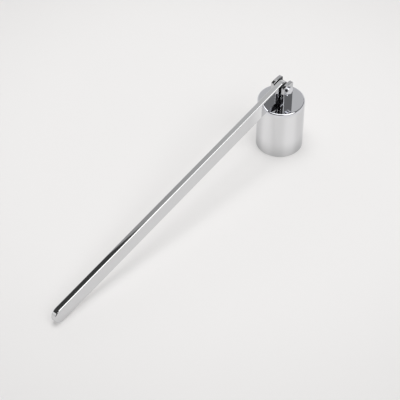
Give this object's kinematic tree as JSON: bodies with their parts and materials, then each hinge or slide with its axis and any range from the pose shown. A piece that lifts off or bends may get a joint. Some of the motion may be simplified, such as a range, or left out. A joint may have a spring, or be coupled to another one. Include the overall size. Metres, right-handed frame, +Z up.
{
  "type": "candle snuffer",
  "caption": "Polished metal candle snuffer: a plain cylindrical bell, open below, hinged by a riveted clevis on its flat lid to a long flat bar handle that swings over it.",
  "frame": {"origin": "centre of the cup's open mouth, in the plane of its rim, which is the table it stands on", "axes": "+Z up along the cup's axis, +X level in the direction that the handle runs, +Y along the hinge rivet"},
  "size_m": [0.1758, 0.024, 0.0406],
  "materials": {
    "polished_cup": "mirror polished",
    "polished_clevis": "mirror polished",
    "polished_rivet": "mirror polished",
    "polished_handle": "mirror polished",
    "nylon_spacer": "moulded black nylon",
    "plated_fastener": "plain plated"
  },
  "bodies": {
    "cup": {"snuffer_cup": "polished_cup", "hinge_clevis": "polished_clevis", "clevis_screw": "plated_fastener", "clevis_washer": "plated_fastener", "hinge_rivet": "polished_rivet", "front_spacer": "nylon_spacer", "back_spacer": "nylon_spacer"},
    "handle": {"handle_bar": "polished_handle"}
  },
  "joints": [
    {"name": "handle_hinge", "type": "hinge", "parent": "cup", "child": "handle", "pos_m": [0, 0, 0.03655], "axis": [0, -1, 0], "range_deg": [-4, 206.8]}
  ]
}
